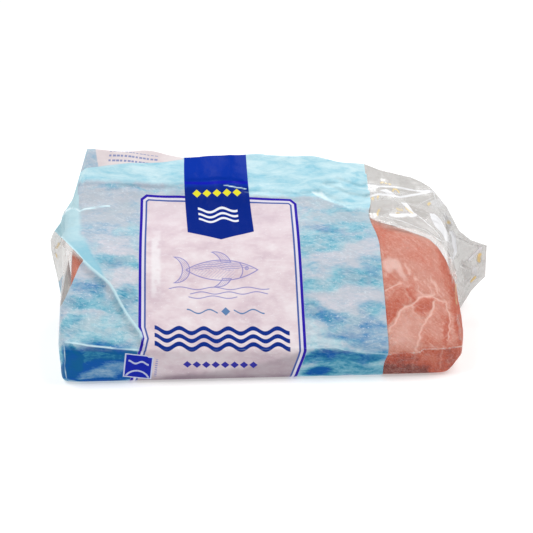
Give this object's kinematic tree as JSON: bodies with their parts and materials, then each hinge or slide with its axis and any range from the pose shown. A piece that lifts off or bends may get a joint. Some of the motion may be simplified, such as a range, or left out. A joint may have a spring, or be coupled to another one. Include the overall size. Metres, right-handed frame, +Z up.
{
  "type": "vacuum-packed frozen tuna loin",
  "caption": "Skinless raw tuna loin, frozen and vacuum-packed in a partly printed, partly clear film bag, lying on its flat side with the spare film standing up behind.",
  "frame": {"origin": "centre of the pack's box on the surface that it lies on", "axes": "+X along the loin towards the clear end, +Y away from the sloping printed front, +Z up"},
  "size_m": [0.351, 0.1552, 0.1269],
  "materials": {
    "printed_film": "thin glossy film printed with pale blue water strokes, a pinkish white panel and a deep blue pennant",
    "clear_film": "clear crumpled film with sharp white glints",
    "tuna_flesh": "frozen raw tuna, salmon pink with paler muscle seams, moist under the film"
  },
  "bodies": {
    "root": {"film_bag": "printed_film"}
  },
  "joints": []
}
